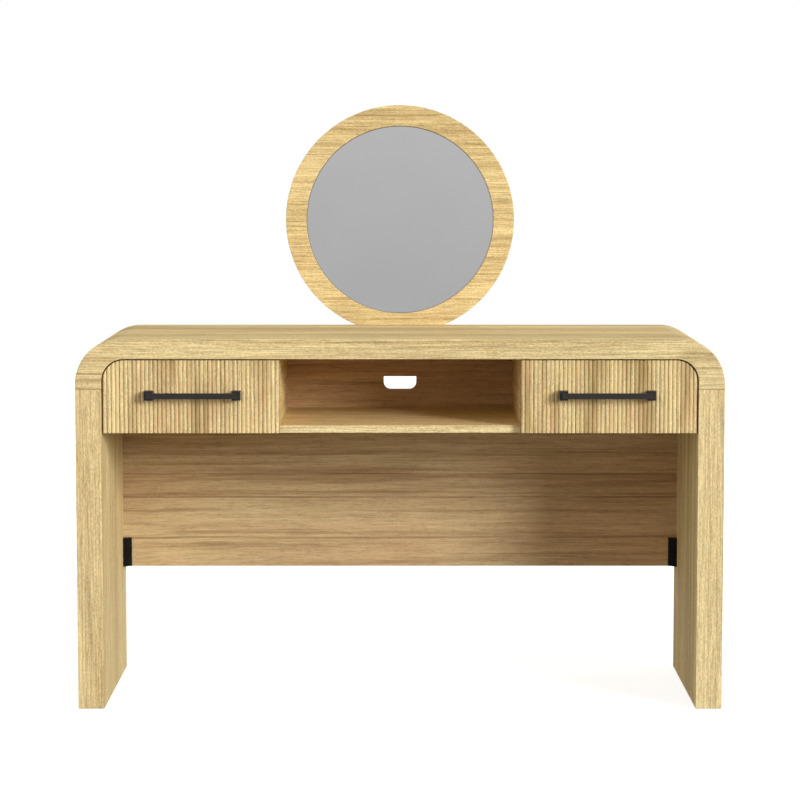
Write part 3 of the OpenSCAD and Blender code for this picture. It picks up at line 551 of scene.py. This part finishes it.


# Turns the colour dark along the lines of a board, grain lines and painted shade lines, each by its mask
# times its depth
def addGrainAndShadeLines(board, dark=lineDark):
    def recolour(tree, colour):
        place = objectVector(tree)
        for depth, *values in grainAndShadeLines[board]:
            shown = placeGroup(tree, "grainLine", {"Vector": place, **dict(zip(lineInputs, values))})["Mask"]
            colour = mixColour(tree, calculate(tree, "MULTIPLY", shown, depth), colour, dark)
        return colour
    return recolour


# How far in metres a mask reaches past the face that bounds it, so that the face itself is inside it
maskReach = 0.0005


# The faces inside the open compartment are painted redder than the same boards outside it: painted bounce
# light that stands in for the warm light thrown between the wood faces in there. The mask is 1 between the
# inner faces of the partitions, above the shelf board and in front of the back panel.
def paintCompartmentBounce(tint):
    def recolour(tree, colour):
        place = splitVector(tree, objectVector(tree))
        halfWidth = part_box("partition_right")[0].x + maskReach
        between = calculate(tree, "LESS_THAN", calculate(tree, "ABSOLUTE", place["X"]), halfWidth)
        above = calculate(tree, "GREATER_THAN", place["Z"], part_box("shelf_board")[1].z - maskReach)
        before = calculate(tree, "LESS_THAN", place["Y"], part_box("back_panel")[0].y + maskReach)
        mask = calculate(tree, "MULTIPLY", between, above, before)
        return mixColour(tree, mask, colour, mixColour(tree, 1.0, colour, tint, "MULTIPLY"))
    return recolour


stripeSettings = {"stretch": (1, 26, 0.4), "low": 0.47, "high": 0.64, "newHigh": 0.26, "detail": 3.0}


# The inner faces of the legs carry broad darker stripes that run from top to bottom
def stripeInnerFaces(tree, colour):
    vector = objectVector(tree)
    away = calculate(tree, "ABSOLUTE", splitVector(tree, vector)["X"])
    inner = calculate(tree, "LESS_THAN", away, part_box("leg_panel_right")[0].x + maskReach)
    stripes = noiseLayer(tree, vector, **stripeSettings)
    return mixColour(tree, calculate(tree, "MULTIPLY", inner, stripes), colour, lineDark)


# In metres: how far under the upper face the brown painted shade starts, the range of y over which it comes
# in, and the range of x over which it falls from one share to another
upperFaceShadeSettings = {"below": 0.02, "rearward": (-0.22, 0.0), "rightward": (-0.3, 0.1, 1, 0.45),
                     "strips": {"stretch": (0.8, 14, 1), "low": 0.38, "high": 0.62,
                                "newLow": 0.05, "newHigh": 0.42}}


# The upper face of the top is painted browner than its front, in strips, most of all towards the rear and
# the
# left: painted shade that stands in for the upper face catching less light than the front
def paintUpperFaceShade(tree, colour):
    settings, topZ = upperFaceShadeSettings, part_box("tabletop")[1].z
    vector = objectVector(tree)
    place = splitVector(tree, vector)
    upper = remap(tree, place["Z"], topZ - settings["below"], topZ - maskReach)
    rearward = remap(tree, place["Y"], *settings["rearward"])
    rightward = remap(tree, place["X"], *settings["rightward"])
    across = calculate(tree, "MULTIPLY", rearward, rightward)
    strips = noiseLayer(tree, vector, **settings["strips"])
    return mixColour(tree, calculate(tree, "MULTIPLY", upper, across, strips), colour, lineDark)


# Patterns in cells per reed and per metre of height, and the ranges of tone in which a reed turns dark or
# pale, and by how much. The valley shade is painted shade in the grooves between the reeds. SideStep gives
# the right drawer's reeds other numbers than the left one's, and valleyStep the valleys others than the
# reeds'.
reedSettings = {
    "Dark": screenColour(158, 130, 78), "Pale": screenColour(234, 212, 154),
    "Pink": screenColour(220, 181, 130), "ValleyShade": screenColour(118, 86, 44),
    "sideStep": 57.0, "ownShare": 0.25, "sharedShare": 0.75, "pinkShare": 0.6,
    "shared": {"stretch": (0.17, 1, 3), "low": 0.36, "high": 0.64},
    "pink": {"stretch": (0.35, 1, 9), "low": 0.5, "high": 0.75},
    "uneven": {"stretch": (1.3, 1, 55), "low": 0.35, "high": 0.65, "newLow": 0.5},
    "darkRange": (0.46, 0.92, 0, 0.78), "paleRange": (0.42, 0.05, 0, 0.5),
    "valleyShadeRange": (0.36, 0.47), "valleyDepths": (0.25, 1.0), "valleyStep": 0.25}


# Reeds are cut from strips of many logs. The reed number is the whole part of (|x| - start) / pitch: each
# number has a tone of its own, neighbours share a tone that drifts, and the valleys between the reeds are
# painted dark, painted shade that deepens the shade of the grooves' own shape, with a random depth for each
# valley. A valley's number is the whole part of the same value plus a half.
def colourReedsAndShadeValleys(tree, colour):
    settings = reedSettings
    low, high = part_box("right_drawer_front")
    place = splitVector(tree, objectVector(tree))
    inward = calculate(tree, "SUBTRACT", calculate(tree, "ABSOLUTE", place["X"]), low.x)
    count = calculate(tree, "DIVIDE", inward, (high.x - low.x) / frontSettings["reeds"])
    onRight = calculate(tree, "GREATER_THAN", place["X"], 0.0)
    side = calculate(tree, "MULTIPLY", onRight, settings["sideStep"])
    reed = calculate(tree, "ADD", calculate(tree, "FLOOR", count), side)
    own = addNode(tree, "TexWhiteNoise", {"W": reed}, noise_dimensions="1D").outputs["Value"]
    strip = addNode(tree, "CombineXYZ", {"X": reed, "Z": place["Z"]}).outputs[0]
    shared = noiseLayer(tree, strip, **settings["shared"])
    tone = weightedSum(tree, (own, settings["ownShare"]), (shared, settings["sharedShare"]))
    pink = calculate(tree, "MULTIPLY", noiseLayer(tree, strip, **settings["pink"]), settings["pinkShare"])
    colour = mixColour(tree, remap(tree, tone, *settings["darkRange"]), colour, settings["Dark"])
    colour = mixColour(tree, remap(tree, tone, *settings["paleRange"]), colour, settings["Pale"])
    colour = mixColour(tree, pink, colour, settings["Pink"])
    # painted shade in the valleys between the reeds
    valley = calculate(tree, "ADD", calculate(tree, "FLOOR", calculate(tree, "ADD", count, 0.5)), side)
    valleySeed = calculate(tree, "ADD", valley, settings["valleyStep"])
    depth = addNode(tree, "TexWhiteNoise", {"W": valleySeed}, noise_dimensions="1D").outputs["Value"]
    uneven = noiseLayer(tree, strip, **settings["uneven"])
    within = calculate(tree, "SUBTRACT", calculate(tree, "FRACT", count), 0.5)
    fromCrest = calculate(tree, "ABSOLUTE", within)
    nearValley = remap(tree, fromCrest, *settings["valleyShadeRange"])
    valleyDepth = remap(tree, depth, 0, 1, *settings["valleyDepths"])
    mask = calculate(tree, "MULTIPLY", nearValley, valleyDepth, uneven)
    return mixColour(tree, mask, colour, settings["ValleyShade"])


# How far in metres the bump of each kind of surface lifts it
reliefs = {"oak": 0.00015, "metal": 0.00003, "handle": 0.00004, "plastic": 0.00005, "screw": 0.00002,
           "hardboard": 0.0002}


def oakMaterial(name, along="X", tones="plain", bands=0.8, streaks=0.5, lines=1.0, flecks=1.0, pores=0.4,
                seed=0.0, shine=0.06, grainScale=(1, 1, 1), attribute=None, recolours=()):
    material, tree, shader, vector = startMaterial(name, along, grainScale)
    if attribute:
        vector = addNode(tree, "Attribute", {}, attribute_name=attribute).outputs["Vector"]
    colours = {socket: screenColour(*tone) for socket, tone in oakTones[tones].items()}
    inputs = {"Vector": vector, **colours, "Bands": bands, "Streaks": streaks, "Lines": lines,
              "Flecks": flecks, "Pores": pores, "Seed": seed}
    finishSurface(tree, shader, "oakVeneer", inputs, reliefs["oak"], recolours)
    shader.inputs["Specular IOR Level"].default_value = shine
    return material


def metalMaterial(name, tone, along="X", smooth=0.25, lines=0.6):
    material, tree, shader, vector = startMaterial(name, along)
    inputs = {"Vector": vector, "Tone": tone, "Smooth": smooth, "Lines": lines}
    finishSurface(tree, shader, "drawnMetal", inputs, reliefs["metal"])
    shader.inputs["Metallic"].default_value = 1.0
    return material


def coatMaterial(name, tone, light, grain, relief, metallic=0.0, shine=0.2):
    material, tree, shader, vector = startMaterial(name)
    inputs = {"Vector": vector, "Tone": screenColour(*tone), "Light": screenColour(*light), "Grain": grain}
    finishSurface(tree, shader, "grainedCoat", inputs, relief)
    shader.inputs["Metallic"].default_value = metallic
    shader.inputs["Specular IOR Level"].default_value = shine
    return material


# The rim shade range is the range before the ring's inner edge over which the brown line of painted shade
# comes in, and its share how strong it is at the lower and at the upper edge of the glass
glassSettings = {"lowTone": (170, 170, 170), "highTone": (181, 181, 181), "rimShadeTone": (104, 84, 56),
                 "haze": {"stretch": (7, 7, 7), "detail": 3.0}, "hazeShare": 0.03, "roughness": (0.02, 0.05),
                 "rimShade": (0.0022, 0.0008), "rimShadeShare": (0.25, 0.95)}


# Silvered glass: a grey reflection painted a little darker lower down, a painted reflection, faint haze, and
# a brown line of painted shade at the rim, strongest at the top, where the distance from the middle comes
# close to the inner radius of the ring
def glassMaterial(settings):
    material, tree, shader, vector = startMaterial("silveredGlass")
    low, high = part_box("mirror_glass")
    ringLow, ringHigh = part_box("mirror_ring")
    sight = (ringHigh.x - ringLow.x) / 2 - ringSettings["width"]
    centre = ((low.x + high.x) / 2, 0, (low.z + high.z) / 2)
    flat = calculateVector(tree, "MULTIPLY", vector, (1, 0, 1))
    radius = addNode(tree, "VectorMath", {0: flat, 1: centre}, operation="DISTANCE").outputs["Value"]
    height = splitVector(tree, vector)["Z"]
    fall = remap(tree, height, low.z, high.z)
    haze = noiseLayer(tree, vector, **settings["haze"])
    # painted reflection: the grey is darker lower down
    silver = mixColour(tree, fall, screenColour(*settings["lowTone"]), screenColour(*settings["highTone"]))
    hazeShare = calculate(tree, "MULTIPLY", haze, settings["hazeShare"])
    silver = mixColour(tree, hazeShare, silver, (1, 1, 1, 1))
    # painted shade at the rim, strongest at the top
    atRim = remap(tree, radius, *[sight - before for before in settings["rimShade"]])
    rimShadeShare = remap(tree, height, low.z, high.z, *settings["rimShadeShare"])
    rimShade = calculate(tree, "MULTIPLY", atRim, rimShadeShare)
    colour = mixColour(tree, rimShade, silver, screenColour(*settings["rimShadeTone"]))
    tree.links.new(colour, shader.inputs["Base Color"])
    tree.links.new(remap(tree, haze, 0, 1, *settings["roughness"]), shader.inputs["Roughness"])
    shader.inputs["Metallic"].default_value = 1.0
    return material


hardboardSettings = {"fibre": {"stretch": (260, 260, 260), "detail": 4.0, "roughness": 0.7},
                     "cloud": {"stretch": (12, 12, 12)}, "cloudShare": 0.35, "roughness": (0.6, 0.8),
                     "tone": (118, 88, 56), "light": (152, 118, 80), "dark": (104, 76, 48)}


# Hardboard: pressed brown fibres that lie in all directions
def hardboardMaterial(settings):
    material, tree, shader, vector = startMaterial("hardboard")
    fibre = noiseLayer(tree, vector, **settings["fibre"])
    cloud = noiseLayer(tree, vector, **settings["cloud"])
    colour = mixColour(tree, fibre, screenColour(*settings["tone"]), screenColour(*settings["light"]))
    clouded = calculate(tree, "MULTIPLY", cloud, settings["cloudShare"])
    colour = mixColour(tree, clouded, colour, screenColour(*settings["dark"]))
    tree.links.new(colour, shader.inputs["Base Color"])
    tree.links.new(remap(tree, fibre, 0, 1, *settings["roughness"]), shader.inputs["Roughness"])
    bump = addNode(tree, "Bump", {"Height": fibre, "Distance": reliefs["hardboard"]})
    tree.links.new(bump.outputs[0], shader.inputs["Normal"])
    return material


rubberSettings = {"cloud": {"stretch": (400, 400, 400)}, "tone": (0.8, 0.82, 0.8, 1),
                  "light": (0.94, 0.95, 0.93, 1), "roughness": (0.2, 0.4), "clear": 0.6}


# Clear soft rubber: lets light through, faintly cloudy
def rubberMaterial(settings):
    material, tree, shader, vector = startMaterial("clearRubber")
    cloud = noiseLayer(tree, vector, **settings["cloud"])
    colour = mixColour(tree, cloud, settings["tone"], settings["light"])
    tree.links.new(colour, shader.inputs["Base Color"])
    tree.links.new(remap(tree, cloud, 0, 1, *settings["roughness"]), shader.inputs["Roughness"])
    shader.inputs["Transmission Weight"].default_value = settings["clear"]
    return material


finishes = {
    # the upper face of the top gets painted shade, and its lines hold a painted shade line at the seam
    "oak_top": oakMaterial("topVeneer", tones="top", shine=0.02, attribute="veneer",
                           recolours=(addGrainAndShadeLines("top"), paintUpperFaceShade)),
    "oak_leg": oakMaterial("legVeneer", "Z", "leg", bands=0.75, streaks=0.4, seed=1.0,
                           recolours=(addGrainAndShadeLines("leg"), stripeInnerFaces)),
    # the shelf, the partitions and the back get painted bounce light inside the compartment
    "oak_shelf": oakMaterial("shelfVeneer", tones="top", bands=0.5, streaks=0.3, seed=2.0,
                             recolours=(paintCompartmentBounce((1.1, 1.0, 0.94, 1)),)),
    "oak_partition": oakMaterial("partitionVeneer", "Y", "ring", seed=3.0,
                                 recolours=(paintCompartmentBounce((1.03, 0.97, 0.92, 1)),)),
    "oak_back": oakMaterial("backVeneer", tones="back", bands=0.6, streaks=0.52, lines=0.6, flecks=0.4,
                            pores=0.25, seed=4.0, grainScale=(1.6, 0.75, 0.75),
                            recolours=(addGrainAndShadeLines("back", backDark),
                                       paintCompartmentBounce((1.06, 1.01, 0.98, 1)))),
    "oak_front": oakMaterial("frontVeneer", "Z", bands=0.5, streaks=0.3, flecks=1.2, seed=5.0,
                             recolours=(colourReedsAndShadeValleys,)),
    "oak_ring": oakMaterial("ringVeneer", tones="ring", bands=0.6, streaks=0.5, seed=6.0, attribute="veneer",
                            recolours=(addGrainAndShadeLines("ring"),)),
    "box_board": oakMaterial("boxFoil", bands=0.4, streaks=0.3, lines=0.6, pores=0.15, seed=7.0),
    "beech": oakMaterial("beechWood", tones="ring", bands=0.3, streaks=0.2, pores=0.25, seed=8.0),
    "bright_steel": metalMaterial("brightSteel", (0.62, 0.63, 0.65, 1), "Y"),
    "zinc": metalMaterial("zincPlate", (0.52, 0.53, 0.55, 1), "Y", smooth=0.35, lines=0.3),
    "dark_metal": coatMaterial("handleCoat", (34, 33, 31), (45, 43, 40), 2600.0, reliefs["handle"]),
    "black_plastic": coatMaterial("bracketPlastic", (24, 22, 20), (37, 34, 31), 1500.0, reliefs["plastic"],
                                  shine=0.06),
    "black_screw": coatMaterial("screwCoat", (18, 18, 20), (44, 44, 48), 3000.0, reliefs["screw"],
                                metallic=0.6),
    "mirror_glass": glassMaterial(glassSettings),
    "backing_board": hardboardMaterial(hardboardSettings),
    "clear_rubber": rubberMaterial(rubberSettings)}
newPieceSlots = {"top": "oak_top", "leftFront": "oak_front", "rightFront": "oak_front", "ring": "oak_ring"}


# Every node takes the finish of its material slot, and every new piece the one that is named for it
def paintNodes():
    for row in frame["record"]["subparts"]:
        materials = cadNodes[row["node"]].data.materials
        materials.clear()
        materials.append(finishes[row["material_slot"]])
    for piece, slot in newPieceSlots.items():
        newPieces[piece].data.materials.append(finishes[slot])


# Widths in metres, angle in degrees. The bevel's clamp holds it back where a mesh has short edges, so the
# arrises come out about 0.02 mm wide or less, and these widths aren't reached
easeSettings = {"weld": 0.00001, "segments": 2, "angle": 50, "boardWidth": 0.001, "handleWidth": 0.0004}


# Boards and handles keep their solids; welding joins their loose triangles, and a bevel follows the arrises
def easeArrises(names, width, settings):
    for name in names:
        weld = cadNodes[name].modifiers.new("weld", "WELD")
        weld.merge_threshold = settings["weld"]
        bevel = cadNodes[name].modifiers.new("ease", "BEVEL")
        bevel.width = width
        bevel.segments = settings["segments"]
        bevel.limit_method = "ANGLE"
        bevel.angle_limit = math.radians(settings["angle"])


paintNodes()
easeArrises(["leg_panel_left", "leg_panel_right", "partition_left", "partition_right", "shelf_board"],
            easeSettings["boardWidth"], easeSettings)
easeArrises(["left_drawer_handle", "right_drawer_handle"], easeSettings["handleWidth"], easeSettings)
print("finishes:", len(finishes))


# Floor that stays white where light reaches it and keeps the soft shadow of the table
floorSettings = {"reach": 9.0, "height": -0.0004, "glow": 0.8, "answer": 0.5, "bounce": 0.3}
worldSettings = {"light": (0.638, 0.58, 0.51, 1)}
lampSettings = {
    "key": {"turn": 43.5, "height": 14.5, "spread": 19.0, "strength": 2.5},
    "fill": {"turn": -60.0, "height": 8.0, "spread": 40.0, "strength": 0.4},
    "overhead": {"turn": 20.0, "height": 72.0, "spread": 50.0, "strength": 0.09}}


# 1 where a ray comes from the camera, a mirror or through glass
def seenDirectly(tree):
    path = addNode(tree, "LightPath", {}).outputs
    rays = [path[kind] for kind in ("Is Camera Ray", "Is Glossy Ray", "Is Transmission Ray")]
    return calculate(tree, "MAXIMUM", *rays)


# The floor answers light and glows for rays that see it directly, and only bounces light for all other rays
def addFloor(settings):
    reach, height = settings["reach"], settings["height"]
    corners = [(x * reach, y * reach, height) for x, y in ((-1, -1), (1, -1), (1, 1), (-1, 1))]
    mesh = bpy.data.meshes.new("floor")
    mesh.from_pydata(corners, [], [(0, 1, 2, 3)])
    floor = bpy.data.objects.new("floor", mesh)
    scene.collection.objects.link(floor)
    material = bpy.data.materials.new("floorPaint")
    material.use_nodes = True
    tree = material.node_tree
    tree.nodes.remove(tree.nodes["Principled BSDF"])
    answer, bounce = settings["answer"], settings["bounce"]
    shown = addNode(tree, "BsdfDiffuse", {"Color": (answer, answer, answer, 1)}).outputs[0]
    glow = addNode(tree, "Emission", {"Color": (1, 1, 1, 1), "Strength": settings["glow"]}).outputs[0]
    lit = addNode(tree, "AddShader", {0: shown, 1: glow}).outputs[0]
    plain = addNode(tree, "BsdfDiffuse", {"Color": (bounce, bounce, bounce, 1)}).outputs[0]
    surface = addNode(tree, "MixShader", {0: seenDirectly(tree), 1: plain, 2: lit}).outputs[0]
    tree.links.new(surface, tree.nodes["Material Output"].inputs["Surface"])
    mesh.materials.append(material)


def addWorld(settings):
    world = bpy.data.worlds.new("studio")
    world.use_nodes = True
    scene.world = world
    tree = world.node_tree
    colour = mixColour(tree, seenDirectly(tree), settings["light"], (1, 1, 1, 1))
    tree.links.new(colour, tree.nodes["Background"].inputs["Color"])


# Even light from far away, in degrees: a turn of 0 is straight from the front, more comes from the right and
# less than 0 from the left; height is how high it stands, and the spread softens its shadows
def addLamp(name, settings):
    data = bpy.data.lights.new(name, "SUN")
    data.energy = settings["strength"]
    data.angle = math.radians(settings["spread"])
    lamp = bpy.data.objects.new(name, data)
    lamp.rotation_euler = (math.radians(90 - settings["height"]), 0, math.radians(settings["turn"]))
    scene.collection.objects.link(lamp)


addFloor(floorSettings)
addWorld(worldSettings)
for lampName, lampValues in lampSettings.items():
    addLamp(lampName, lampValues)
scene.view_settings.view_transform = "Standard"
print("studio ready")
